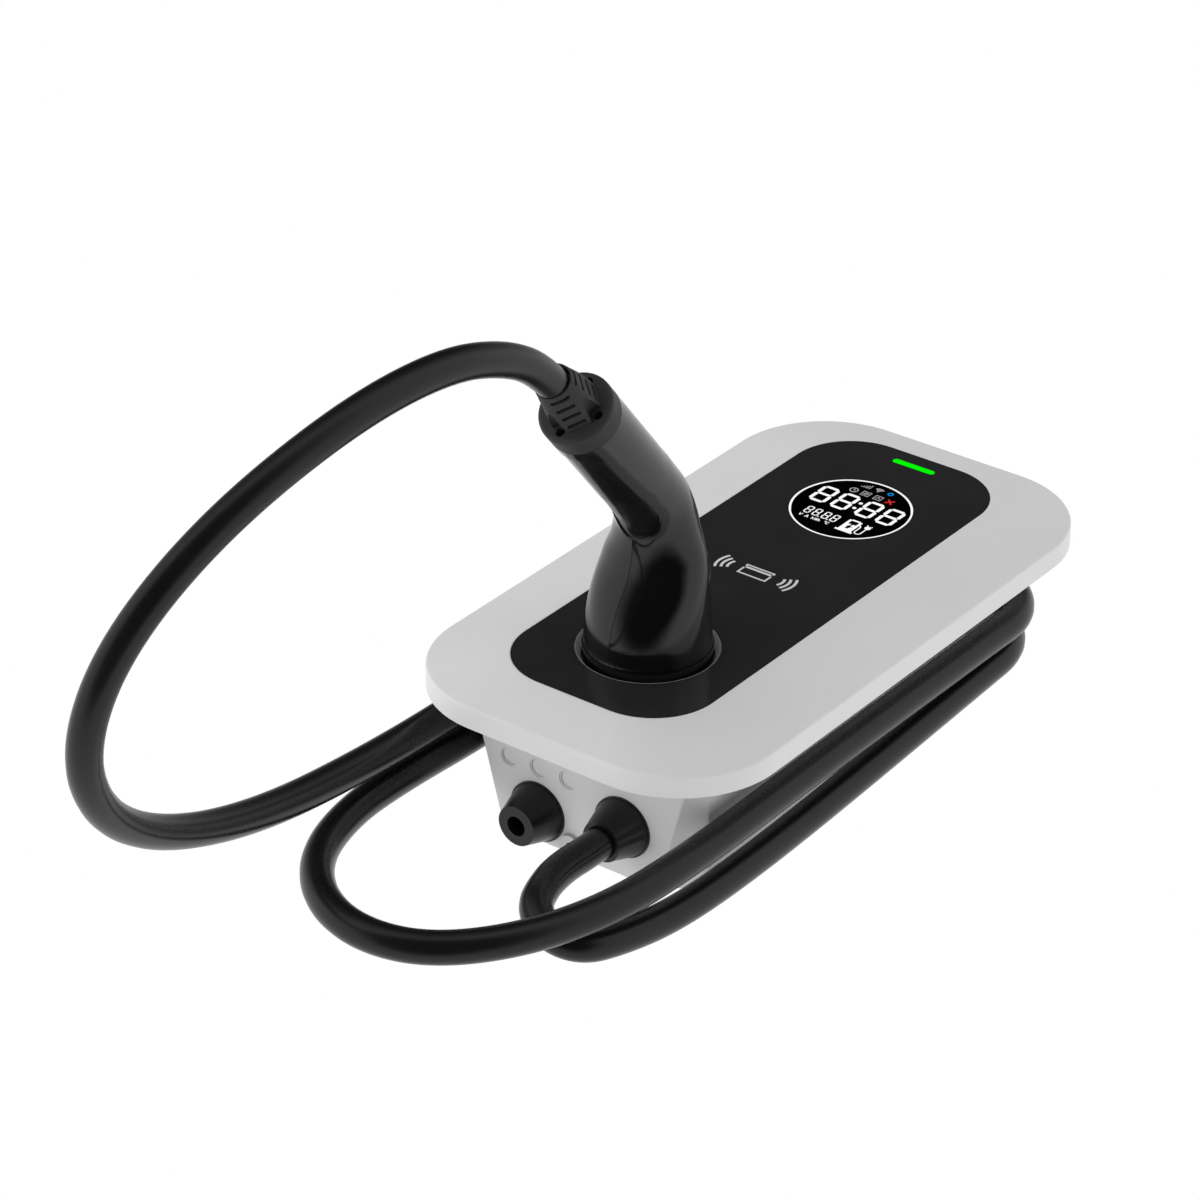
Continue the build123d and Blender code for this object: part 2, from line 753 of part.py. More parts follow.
# Output terminals
with BuildPart() as output_terminals:
    with BuildSketch(front_plane(board_front)):
        with Locations((terminal_x, terminal_z + 1)):
            Rectangle(terminal_width, terminal_depth)
    extrude(amount=terminal_height)
    with BuildSketch(front_plane(board_front + terminal_height)):
        with Locations(*[(step + terminal_x, terminal_z + 3) for step in clamp_steps]):
            Circle((clamp_pitch - 2.8) / 2)
    extrude(amount=-terminal_height / 5, mode=Mode.SUBTRACT)
    with BuildSketch(below_plane(terminal_z + 1 - terminal_depth / 2)):
        with Locations(*[(step + terminal_x, wire_reach) for step in clamp_steps]):
            Rectangle(clamp_pitch - 2, terminal_height / 3)
    extrude(amount=-terminal_depth / 2 - 1, mode=Mode.SUBTRACT)
output_terminals.part.label = "output_terminals"
export_step(output_terminals.part, "parts/output_terminals.step")

# Leakage current sensor, a ring round the output wires
sensor_width = column_width - 2 * part_gap
with BuildPart() as leakage_sensor:
    with BuildSketch(below_plane(row_mids[0] - sensor_length / 2)):
        with Locations((column_x, board_front + tall_part / 2)):
            RectangleRounded(sensor_width, tall_part, 4)
            Circle(min(sensor_width, tall_part) / 2 - sensor_wall, mode=Mode.SUBTRACT)
    extrude(amount=-sensor_length)
leakage_sensor.part.label = "leakage_sensor"
export_step(leakage_sensor.part, "parts/leakage_sensor.step")

# Power relays
with BuildPart() as power_relays:
    with BuildSketch(front_plane(board_front)):
        with Locations((-column_x, row_mids[0]), (-column_x, row_mids[1]), (column_x, row_mids[1])):
            Rectangle(column_width, row_height)
    extrude(amount=tall_part)
    top_edges = power_relays.edges().filter_by(lambda e: abs(e.center().Y + board_front + tall_part) < 0.01)
    chamfer(top_edges, length=1)
power_relays.part.label = "power_relays"
export_step(power_relays.part, "parts/power_relays.step")

# Supply transformer with its coil
with BuildPart() as transformer:
    with BuildSketch(front_plane(board_front)):
        with Locations((-column_x, row_mids[2])):
            Rectangle(column_width, row_height - part_gap)
    extrude(amount=tall_part)
    with BuildSketch(front_plane(board_front + terminal_drop / 2)):
        with Locations((-column_x, row_mids[2])):
            Rectangle(column_width - 2 * part_gap, row_height)
    extrude(amount=terminal_height)
transformer.part.label = "transformer"
export_step(transformer.part, "parts/transformer.step")

# Filter capacitors
can_pitch = min(column_width, row_height) / 2
with BuildPart() as filter_capacitors:
    with BuildSketch(front_plane(board_front)):
        with Locations((column_x, row_mids[2])):
            with GridLocations(can_pitch, can_pitch, 2, 2):
                Circle(can_pitch / 2 - 0.6)
    extrude(amount=tall_part + part_edge)
filter_capacitors.part.label = "filter_capacitors"
export_step(filter_capacitors.part, "parts/filter_capacitors.step")

# Wireless module under its shield
with BuildPart() as wireless_module:
    with BuildSketch(front_plane(board_front)):
        with Locations((column_x, row_mids[3])):
            Rectangle(column_width - 3 * part_gap, row_height - part_gap)
    extrude(amount=1)
    with BuildSketch(front_plane(board_front + 1)):
        with Locations((column_x, row_mids[3] - part_gap / 2)):
            Rectangle(column_width - 4 * part_gap, row_height - 2.5 * part_gap)
    extrude(amount=2.6)
wireless_module.part.label = "wireless_module"
export_step(wireless_module.part, "parts/wireless_module.step")

# Parking socket: a cup behind the cover's plate
with BuildPart() as parking_socket:
    with BuildSketch(front_plane(plate_back)):
        with Locations((0, -plug_drop)):
            Circle(socket_flange)
        with Locations(*socket_screw_places):
            Circle(socket_screw_radius + 2 * screw_fit, mode=Mode.SUBTRACT)
    extrude(amount=-socket_flange_thickness)
    with BuildSketch(front_plane(plate_back)):
        with Locations((0, -plug_drop)):
            Circle(socket_radius + socket_wall)
    extrude(amount=nose_front - socket_wall - plate_back)
    with BuildSketch(front_plane(plate_back)):
        with Locations((0, -plug_drop)):
            Circle(socket_radius)
    extrude(amount=nose_front - plate_back, mode=Mode.SUBTRACT)
parking_socket.part.label = "parking_socket"
export_step(parking_socket.part, "parts/parking_socket.step")

# Screws of the parking socket
with BuildPart() as socket_screws:
    with BuildSketch(front_plane(plate_back - socket_flange_thickness)):
        with Locations(*socket_screw_places):
            Circle(socket_screw_head)
    extrude(amount=-2)
    with BuildSketch(front_plane(plate_back - socket_flange_thickness)):
        with Locations(*socket_screw_places):
            Circle(socket_screw_radius)
    extrude(amount=socket_flange_thickness + cover_wall - 0.9)
socket_screws.part.label = "socket_screws"
export_step(socket_screws.part, "parts/socket_screws.step")

# Chamfered ring in the mouth of the socket
plug_axis = Axis((0, 0, -plug_drop), (0, 1, 0))
plug_section = Plane(origin=(0, 0, -plug_drop), x_dir=(1, 0, 0), z_dir=(0, 0, -1))
with BuildPart() as socket_bezel:
    with BuildSketch(plug_section):
        Polygon(
            (bezel_inner, plate_back),
            (bezel_radius, plate_back),
            (bezel_radius, depth),
            (bezel_radius - bezel_land, depth),
            (bezel_inner, depth - bezel_chamfer_depth),
            align=None,
        )
    revolve(axis=plug_axis)
socket_bezel.part.label = "socket_bezel"
export_step(socket_bezel.part, "parts/socket_bezel.step")

# Plug nose: shroud round the contacts, collar and neck held in the handle
nose_inner = nose_radius - nose_wall
with BuildPart() as plug_nose:
    with BuildSketch(plug_section):
        Polygon(
            (nose_inner, nose_front),
            (nose_radius - 0.8, nose_front),
            (nose_radius, nose_front + 0.8),
            (nose_radius, collar_back),
            (collar_radius, collar_back),
            (collar_radius, collar_front),
            (neck_radius, collar_front),
            (neck_radius, collar_front + neck_length),
            (neck_radius - neck_wall, collar_front + neck_length),
            (neck_radius - neck_wall, collar_back - 1),
            (nose_inner, collar_back - 1),
            align=None,
        )
    revolve(axis=plug_axis)
plug_nose.part.label = "plug_nose"
export_step(plug_nose.part, "parts/plug_nose.step")

# Contact carrier with seven contact holes
power_places = [(0, -plug_drop), (-16, -plug_drop), (16, -plug_drop)]
lower_places = [(-8, -plug_drop - 14), (8, -plug_drop - 14)]
signal_places = [(-8, -plug_drop + 12), (8, -plug_drop + 12)]
with BuildPart() as contact_carrier:
    with BuildSketch(front_plane(nose_front + 1)):
        with Locations((0, -plug_drop)):
            Circle(nose_inner - carrier_fit)
        with Locations(*(power_places + lower_places)):
            Circle(power_sleeve + 0.1, mode=Mode.SUBTRACT)
        with Locations(*signal_places):
            Circle(signal_sleeve + 0.1, mode=Mode.SUBTRACT)
    extrude(amount=collar_back - 1 - nose_front - 1)
contact_carrier.part.label = "contact_carrier"
export_step(contact_carrier.part, "parts/contact_carrier.step")

# Contact sleeves
with BuildPart() as contact_sleeves:
    with BuildSketch(front_plane(nose_front + 5)):
        with Locations(*(power_places + lower_places)):
            Circle(power_sleeve)
            Circle(power_sleeve - 1, mode=Mode.SUBTRACT)
        with Locations(*signal_places):
            Circle(signal_sleeve)
            Circle(signal_sleeve - 1, mode=Mode.SUBTRACT)
    extrude(amount=collar_front - nose_front - 5)
contact_sleeves.part.label = "contact_sleeves"
export_step(contact_sleeves.part, "parts/contact_sleeves.step")

# Station on the tail: reach, rise, half width, half thickness and tilt
def tail_station(s, grow, ease):
    along = radians(tail_tilt)
    size = tail_radius + grow
    return (tail_reach + s * cos(along), -s * sin(along), size, size, tail_tilt - ease)


# Value between the second and third of four stations
def blend(a, b, c, e, t):
    return b + 0.5 * t * (c - a + t * (2 * a - 5 * b + 4 * c - e + t * (3 * (b - c) + e - a)))


# Reach of a point on the bend, by its share of the way from the handle's front to the tail
def bend_reach(share):
    return handle_start + share * (tail_reach - handle_start)


# Body of the handle, inset by a given amount and run on past its rear end
def handle_body(front, inset, extra):
    stations = [
        (front - 13.5, 0, handle_radius, handle_radius, 0),
        (front, 0, handle_radius, handle_radius, 0),
        (bend_reach(0.16), 0, handle_radius - 0.9, handle_radius - 0.9, 0),
        (bend_reach(0.33), 1.5, handle_radius - 1.5, handle_radius - 4.5, 0),
        (bend_reach(0.54), 5.5, handle_radius - 3.5, handle_radius - 10, 4),
        (bend_reach(0.75), 6, tail_radius + 4, tail_radius + 0.8, 13),
        (bend_reach(0.94), 2.3, tail_radius + 0.8, tail_radius + 0.3, 28),
        tail_station(tail_length * 0.16, 0, 2),
        tail_station(tail_length * 0.37, 0, 0),
        tail_station(tail_length * 0.58, 0, 0),
        tail_station(tail_length * 0.79, 0, 0),
        tail_station(tail_length + extra, 0, 0),
        tail_station(tail_length * 1.21 + extra, 0, 0),
    ]
    sections = []
    for four in zip(stations, stations[1:], stations[2:], stations[3:]):
        for t in (0, 0.5):
            sections.append([blend(*values, t) for values in zip(*four)])
    sections.append(stations[-2])
    with BuildPart() as body:
        for reach, rise, half, thick, tilt in sections:
            with BuildSketch(handle_plane(reach, rise, tilt)):
                Ellipse(half - inset, min(half, thick) - inset)
        loft()
    return body.part


# Outline of the finger grip, on a plane along the tail and facing its inner side
def grip_block(margin):
    along = radians(tail_tilt)
    length = tail_length - grip_end - grip_start
    rear = length / 2 - grip_corner
    corner_x = grip_rear_width / 2 - grip_corner
    middle = tail_plane(grip_start + length / 2).origin
    side = Plane(origin=middle, x_dir=(1, 0, 0), z_dir=(0, sin(along), -cos(along)))
    with BuildPart() as block:
        with BuildSketch(side):
            with Locations((0, -length / 2)):
                Circle(grip_width / 2 + margin)
            with Locations((-corner_x, rear), (corner_x, rear)):
                Circle(grip_corner + margin)
            make_hull()
        extrude(amount=grip_height)
    return block.part


handle_outer = handle_body(handle_start, 0, 0)
handle_inner = handle_body(handle_start + 3, handle_wall, 1)
grip_top = handle_body(handle_start, grip_sink, 0)
grip_base = handle_body(handle_start, grip_sink + grip_thickness, 0)

# Left and right halves of the handle
with BuildPart() as handle_left:
    add(handle_outer)
    add(handle_inner, mode=Mode.SUBTRACT)
    add(grip_block(grip_fit) - grip_base, mode=Mode.SUBTRACT)
    with BuildSketch(front_plane(depth + handle_start - 1)):
        with Locations((0, -plug_drop)):
            Circle(neck_radius + 0.3)
    extrude(amount=5, mode=Mode.SUBTRACT)
    split(bisect_by=Plane.YZ.offset(-handle_seam / 2), keep=Keep.BOTTOM)
handle_left.part.label = "handle_left"
export_step(handle_left.part, "parts/handle_left.step")

with BuildPart() as handle_right:
    add(handle_outer)
    add(handle_inner, mode=Mode.SUBTRACT)
    add(grip_block(grip_fit) - grip_base, mode=Mode.SUBTRACT)
    with BuildSketch(front_plane(depth + handle_start - 1)):
        with Locations((0, -plug_drop)):
            Circle(neck_radius + 0.3)
    extrude(amount=5, mode=Mode.SUBTRACT)
    split(bisect_by=Plane.YZ.offset(handle_seam / 2), keep=Keep.TOP)
handle_right.part.label = "handle_right"
export_step(handle_right.part, "parts/handle_right.step")

# Soft finger grip let into the inner side of the handle
with BuildPart() as finger_grip:
    add(grip_block(0))
    add(grip_base, mode=Mode.SUBTRACT)
    add(grip_top, mode=Mode.INTERSECT)
finger_grip.part.label = "finger_grip"
export_step(finger_grip.part, "parts/finger_grip.step")

# Rear collar that closes the handle, with four deep screw holes
collar_start = tail_length + rear_collar_gap
collar_end = tail_length + rear_collar_length
collar_screw_place = tail_radius - collar_screw_edge
collar_hole_depth = rear_collar_length - collar_web
screw_ring = [(0, 1), (1, 0), (0, -1), (-1, 0)]
collar_places = [(collar_screw_place * a, collar_screw_place * b) for a, b in screw_ring]
with BuildPart() as rear_collar:
    with BuildSketch(tail_plane(collar_start)):
        Circle(tail_radius)
    extrude(amount=collar_end - collar_start)
    end_edge = rear_collar.edges().filter_by(GeomType.CIRCLE).sort_by(Axis.Y)[0]
    fillet(end_edge, radius=rear_collar_round)
    with BuildSketch(tail_plane(collar_start + 1)):
        Circle(tail_radius - handle_wall - spigot_fit)
    extrude(amount=-spigot_length - 1)
    with BuildSketch(tail_plane(collar_end)):
        Circle(cord_radius + cord_fit)
    extrude(amount=-rear_collar_length - spigot_length - 2, mode=Mode.SUBTRACT)
    with BuildSketch(tail_plane(collar_end)):
        with Locations(*collar_places):
            Circle(collar_screw_hole)
    extrude(amount=-collar_hole_depth, mode=Mode.SUBTRACT)
    with BuildSketch(tail_plane(collar_end)):
        with Locations(*collar_places):
            Circle(collar_screw_shank + screw_fit)
    extrude(amount=-rear_collar_length + 1.5, mode=Mode.SUBTRACT)
rear_collar.part.label = "rear_collar"
export_step(rear_collar.part, "parts/rear_collar.step")

# Screws of the rear collar
with BuildPart() as collar_screws:
    with BuildSketch(tail_plane(collar_end - collar_hole_depth)):
        with Locations(*collar_places):
            Circle(collar_screw_hole - 3 * screw_fit)
    extrude(amount=2.4)
    with BuildSketch(tail_plane(collar_end - collar_hole_depth + 2.4)):
        with Locations(*collar_places):
            RegularPolygon(collar_screw_shank, 6)
    extrude(amount=-1.4, mode=Mode.SUBTRACT)
    with BuildSketch(tail_plane(collar_end - collar_hole_depth)):
        with Locations(*collar_places):
            Circle(collar_screw_shank)
    extrude(amount=-collar_web + 2)
collar_screws.part.label = "collar_screws"
export_step(collar_screws.part, "parts/collar_screws.step")

# Strain relief: square at the collar and round at the cord, scooped out at the screws, slotted on its sides
boot_end = collar_end + boot_length
boot_depth = boot_length - boot_floor
boot_bore = cord_radius + cord_fit
boot_tip = boot_bore + boot_lip
with BuildPart() as strain_relief:
    with BuildSketch(tail_plane(collar_end)):
        RectangleRounded(boot_side, boot_side, boot_corner, rotation=45)
    with BuildSketch(tail_plane(boot_end)):
        RectangleRounded(2 * boot_tip, 2 * boot_tip, boot_tip - 0.1, rotation=45)
    loft(ruled=True)
    for a, b in collar_places:
        with BuildSketch(tail_plane(collar_end)):
            with Locations((a, b)):
                Circle(collar_screw_hole + scoop_margin)
        with BuildSketch(tail_plane(collar_end + scoop_length)):
            with Locations((a, b)):
                Circle(scoop_tip)
        loft(ruled=True, mode=Mode.SUBTRACT)
    for turn in (45, 135, 225, 315):
        low = tail_plane(collar_end + slot_start)
        out = low.x_dir * cos(radians(turn)) + low.y_dir * sin(radians(turn))
        with BuildSketch(Plane(origin=low.origin + out * slot_floor, x_dir=low.z_dir, z_dir=out)):
            with Locations(*[(slot_pitch * n, 0) for n in (0, 1, 2, 3)]):
                SlotOverall(slot_length, slot_width, rotation=90)
        extrude(amount=boot_side, mode=Mode.SUBTRACT)
    with BuildSketch(tail_plane(boot_end)):
        Circle(boot_bore)
    extrude(amount=-boot_depth - 0.5, mode=Mode.SUBTRACT)
    with BuildSketch(tail_plane(boot_end)):
        Circle(core_bore)
    extrude(amount=-boot_length - 1, mode=Mode.SUBTRACT)
strain_relief.part.label = "strain_relief"
export_step(strain_relief.part, "parts/strain_relief.step")

# Route of the charging cord, from the output gland twice round the housing and down to the plug
far_lane = near_lane + lane_pitch
lane_x = tub_half_front + cord_radius - 0.5
lane_z = tub_top_front + cord_radius + 2.5
wrap = 27.0
gland_end = (output_x, -output_reach, -tub_bottom - output_seat)
boot_tail = tail_plane(boot_end - boot_depth).origin
boot_mouth = tail_plane(boot_end + 8).origin
route = [
    gland_end,
    (output_x, -output_reach, gland_end[2] - 19),
    (output_x - 1, -output_reach - 0.5, gland_end[2] - 38),
    (output_x + 1, -29, gland_end[2] - 55),
    (output_x + 7, -27, gland_end[2] - 71),
    (49, -22, gland_end[2] - 79),
    (65, -18, gland_end[2] - 73),
    (lane_x - 10, -16, gland_end[2] - 52),
    (lane_x - 4, -14, gland_end[2] - 22),
    (lane_x - 1, -14, -140),
    (lane_x - 1, -15, -66),
    (lane_x, -near_lane, lane_z - wrap),
    (lane_x - wrap, -near_lane, lane_z),
    (wrap - lane_x, -near_lane, lane_z),
    (-lane_x, -near_lane - 1, lane_z - wrap),
    (2 - lane_x, -33, -120),
    (2 - lane_x, -38, -190),
    (-78, -40, -236),
    (-65, -40, -276),
    (-38, -40, -303),
    (-4, -40, -313),
    (30, -40, -303),
    (59, -40, -269),
    (77, -41, -223),
    (lane_x, -43, -168),
    (lane_x + 1.5, -far_lane - 0.5, -60),
    (lane_x + 2, -far_lane, lane_z + 4 - wrap),
    (lane_x + 2 - wrap, -far_lane, lane_z + 4),
    (wrap - 2 - lane_x, -far_lane, lane_z + 4),
    (-lane_x - 2, -far_lane - 1, lane_z + 4 - wrap),
    (-lane_x, -54, -130),
    (2 - lane_x, -58, -210),
    (-76, -72, -300),
    (-70, -100, -373),
    (-62, -139, -422),
    (-53, -187, -442),
    (-42, -236, -427),
    (-27, -279, -378),
    (-11, -308, -306),
    (-2, -314, -246),
    (0, boot_mouth.Y - 19, boot_mouth.Z - 27),
    (0, boot_mouth.Y, boot_mouth.Z),
    (0, boot_tail.Y, boot_tail.Z),
]

# Bend radius at each point: the bend takes up 0.45 of the shorter run beside it
bends = []
for before, here, after in zip(route, route[1:], route[2:]):
    run_in = Vector(*here) - Vector(*before)
    run_out = Vector(*after) - Vector(*here)
    turn = acos(min(1.0, run_in.normalized().dot(run_out.normalized())))
    bends.append(0.45 * min(run_in.length, run_out.length) / tan(turn / 2))
print("cord bend radii", [round(bend) for bend in bends])

# Charging cord
cord_start = Plane(origin=gland_end, x_dir=(1, 0, 0), z_dir=(0, 0, -1))
with BuildPart() as charging_cord:
    with BuildLine() as cord_path:
        FilletPolyline(*route, radius=bends)
    with BuildSketch(cord_start):
        Circle(cord_radius)
    sweep(path=cord_path.line)
print("cord length", round(cord_path.wire().length), "volume", round(charging_cord.part.volume))
charging_cord.part.label = "charging_cord"
export_step(charging_cord.part, "parts/charging_cord.step")
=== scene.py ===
import math
import bpy
from mathutils import Matrix, Vector


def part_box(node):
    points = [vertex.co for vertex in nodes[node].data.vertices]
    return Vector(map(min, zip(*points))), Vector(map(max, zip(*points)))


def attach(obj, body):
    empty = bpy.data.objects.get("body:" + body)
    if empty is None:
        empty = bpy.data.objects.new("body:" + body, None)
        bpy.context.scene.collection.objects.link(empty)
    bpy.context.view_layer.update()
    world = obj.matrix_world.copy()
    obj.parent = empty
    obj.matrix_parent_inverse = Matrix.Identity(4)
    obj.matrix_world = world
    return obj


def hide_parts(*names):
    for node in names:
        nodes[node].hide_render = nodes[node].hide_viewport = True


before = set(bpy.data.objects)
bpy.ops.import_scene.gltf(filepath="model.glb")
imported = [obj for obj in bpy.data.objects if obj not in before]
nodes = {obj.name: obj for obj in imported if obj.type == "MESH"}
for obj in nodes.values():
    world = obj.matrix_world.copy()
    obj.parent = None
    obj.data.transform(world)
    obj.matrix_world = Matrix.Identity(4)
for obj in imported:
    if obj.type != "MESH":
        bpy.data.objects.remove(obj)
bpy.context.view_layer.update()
scene = bpy.context.scene
scene.view_settings.view_transform = "Standard"

MM = 0.001

# Places that the frame gives, in metres
PANEL_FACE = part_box("front_panel")[0].y
ring_low, ring_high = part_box("display_ring")
DISPLAY_HEIGHT = (ring_low.z + ring_high.z) / 2.0


# Camera at the photograph's angle: below the station, looking up at its front
CAMERA_LENS = 128.41
CAMERA_SENSOR = 36.0
CAMERA_PLACE = Matrix((
    (0.7956, -0.3028, 0.5248, 1.0925),
    (-0.0011, -0.8669, -0.4985, -1.1791),
    (0.6059, 0.3960, -0.6900, -1.5702),
    (0.0, 0.0, 0.0, 1.0),
))
camera_data = bpy.data.cameras.new("camera")
camera_data.lens = CAMERA_LENS
camera_data.sensor_width = CAMERA_SENSOR
camera = bpy.data.objects.new("camera", camera_data)
scene.collection.objects.link(camera)
camera.matrix_world = CAMERA_PLACE
scene.camera = camera


# Node helpers: a value is either a constant, set on the socket itself, or the socket that it comes from
def feed(tree, socket, value):
    if isinstance(value, bpy.types.NodeSocket):
        tree.links.new(value, socket)
    else:
        socket.default_value = value


def add_node(tree, kind, values, operation=None):
    """A shader node with its input values, by input name or number."""
    node = tree.nodes.new(kind)
    if operation:
        node.operation = operation
    for key, value in values.items():
        feed(tree, node.inputs[key], value)
    return node


def math_node(tree, operation, *values):
    return add_node(tree, "ShaderNodeMath", dict(enumerate(values)), operation).outputs[0]


def vector_node(tree, operation, *values):
    return add_node(tree, "ShaderNodeVectorMath", dict(enumerate(values)), operation)


def noise_node(tree, place, scale, detail=3.0, rough=0.55):
    values = {"Vector": place, "Scale": scale, "Detail": detail, "Roughness": rough}
    return add_node(tree, "ShaderNodeTexNoise", values).outputs["Fac"]


def ramp_node(tree, source, low, high, start=0.3, end=0.7):
    """A colour that goes from low to high while the source goes from start to end."""
    node = add_node(tree, "ShaderNodeValToRGB", {"Fac": source})
    for element, position, colour in zip(node.color_ramp.elements, (start, end), (low, high)):
        element.position = position
        element.color = (*colour, 1.0)
    return node.outputs["Color"]


def range_node(tree, source, low, high, start=0.3, end=0.7, smooth=False):
    """A number that goes from low to high while the source goes from start to end."""
    values = {"Value": source, "From Min": start, "From Max": end, "To Min": low, "To Max": high}
    node = add_node(tree, "ShaderNodeMapRange", values)
    if smooth:
        node.interpolation_type = "SMOOTHSTEP"
    return node.outputs["Result"]


# Materials: each is a node tree in object coordinates
def new_material(name):
    """A material with its tree, its shader's inputs and the socket of object coordinates."""
    mat = bpy.data.materials.new(name)
    mat.use_nodes = True
    tree = mat.node_tree
    tree.nodes.clear()
    shader = tree.nodes.new("ShaderNodeBsdfPrincipled")
    add_node(tree, "ShaderNodeOutputMaterial", {"Surface": shader.outputs["BSDF"]})
    place = tree.nodes.new("ShaderNodeTexCoord").outputs["Object"]
    return mat, tree, shader.inputs, place


def shades(colour, darker, lighter):
    """A darker and a lighter shade of a colour, as shares of it."""
    return [c * darker for c in colour], [min(1.0, c * lighter) for c in colour]


# Moulded surfaces: noise scales are per metre, and the wear is finer than the colour patches
PATCH_SCALE = 28.0
WEAR_PER_PATCH = 6.0
WEAR_DETAIL = 4.0
GRAIN_SCALE = 2600.0
GRAIN_DETAIL = 2.0
GRAIN_HEIGHT = 0.0002


def moulded(name, colour, vary, rough, rough_vary, specular, grain=0.0,
            grain_scale=GRAIN_SCALE, patch=PATCH_SCALE):
    """Moulded plastic or rubber: slight colour drift, uneven gloss and a fine moulded grain."""
    mat, tree, inputs, place = new_material(name)
    drift = noise_node(tree, place, patch)
    feed(tree, inputs["Base Color"], ramp_node(tree, drift, *shades(colour, 1.0 - vary, 1.0 + vary)))
    wear = noise_node(tree, place, patch * WEAR_PER_PATCH, WEAR_DETAIL)
    feed(tree, inputs["Roughness"], range_node(tree, wear, rough - rough_vary, rough + rough_vary))
    inputs["Specular IOR Level"].default_value = specular
    if grain > 0.0:
        height = noise_node(tree, place, grain_scale, GRAIN_DETAIL)
        values = {"Height": height, "Strength": grain, "Distance": GRAIN_HEIGHT}
        feed(tree, inputs["Normal"], add_node(tree, "ShaderNodeBump", values).outputs["Normal"])
    return mat


# Drawn metal
STREAK_SCALE = 900.0
STREAK_DETAIL = 3.0
STREAK_ROUGHNESS = 0.5
STREAK_SHADES = (0.88, 1.1)
STREAK_SHINE = 0.07
STREAK_DULL = 0.08


def metal(name, colour, rough, brush):
    """Plated metal with a drawn grain, which runs across the axis that brush scales up."""
    mat, tree, inputs, place = new_material(name)
    stretch = add_node(tree, "ShaderNodeMapping", {"Vector": place, "Scale": brush}).outputs["Vector"]
    streak = noise_node(tree, stretch, STREAK_SCALE, STREAK_DETAIL, STREAK_ROUGHNESS)
    feed(tree, inputs["Base Color"], ramp_node(tree, streak, *shades(colour, *STREAK_SHADES)))
    feed(tree, inputs["Roughness"], range_node(tree, streak, rough - STREAK_SHINE, rough + STREAK_DULL))
    inputs["Metallic"].default_value = 1.0
    return mat


# Lit prints and the display's ring
GLOW_SCALE = 300.0
GLOW_SHADES = (0.94, 1.0)
LIT_ROUGHNESS = 0.3


def lit(name, colour, base, specular):
    """Lit print or light guide, with a slight unevenness in its glow."""
    mat, tree, inputs, place = new_material(name)
    glow = noise_node(tree, place, GLOW_SCALE)
    feed(tree, inputs["Emission Color"], ramp_node(tree, glow, *shades(colour, *GLOW_SHADES)))
    inputs["Emission Strength"].default_value = 1.0
    inputs["Base Color"].default_value = (*(c * base for c in colour), 1.0)
    inputs["Roughness"].default_value = LIT_ROUGHNESS
    inputs["Specular IOR Level"].default_value = specular
    return mat


RING_GLOW_RADIUS = 0.03272
RING_GLOW_EDGE = 0.0001
RING_RIM = (0.012, 0.012, 0.012, 1.0)
RING_SPECULAR = 0.02


def lit_ring(name):
    """The display's light guide: its white glow ends at a radius, with a black rim outside it."""
    mat, tree, inputs, place = new_material(name)
    away = vector_node(tree, "SUBTRACT", place, (0.0, PANEL_FACE, DISPLAY_HEIGHT))
    flat = vector_node(tree, "MULTIPLY", away.outputs["Vector"], (1.0, 0.0, 1.0))
    reach = vector_node(tree, "LENGTH", flat.outputs["Vector"]).outputs["Value"]
    inner, outer = RING_GLOW_RADIUS - RING_GLOW_EDGE, RING_GLOW_RADIUS + RING_GLOW_EDGE
    inside = range_node(tree, reach, 1.0, 0.0, inner, outer)
    feed(tree, inputs["Emission Color"], ramp_node(tree, inside, (0.0, 0.0, 0.0), (1.0, 1.0, 1.0), 0.0, 1.0))
    inputs["Emission Strength"].default_value = 1.0
    inputs["Base Color"].default_value = RING_RIM
    inputs["Roughness"].default_value = LIT_ROUGHNESS
    inputs["Specular IOR Level"].default_value = RING_SPECULAR
    return mat


# Circuit boards
TRACK_SCALE = 90.0
TRACK_GAP = 0.08
TRACK_SHADE = 0.7
BOARD_WEAR_SCALE = 200.0
BOARD_ROUGHNESS = (0.3, 0.5)


def circuit(name, mask, copper):
    """Circuit board: solder mask in darker and lighter fields, with lines of covered copper between them."""
    mat, tree, inputs, place = new_material(name)
    turn = add_node(tree, "ShaderNodeMapping", {"Vector": place, "Rotation": (math.radians(90.0), 0.0, 0.0)})
    tracks = add_node(tree, "ShaderNodeTexBrick", {
        "Vector": turn.outputs["Vector"],
        "Scale": TRACK_SCALE,
        "Mortar Size": TRACK_GAP,
        "Color1": (*mask, 1.0),
        "Color2": (*(c * TRACK_SHADE for c in mask), 1.0),
        "Mortar": (*copper, 1.0),
    })
    feed(tree, inputs["Base Color"], tracks.outputs["Color"])
    wear = noise_node(tree, place, BOARD_WEAR_SCALE)
    feed(tree, inputs["Roughness"], range_node(tree, wear, *BOARD_ROUGHNESS))
    return mat


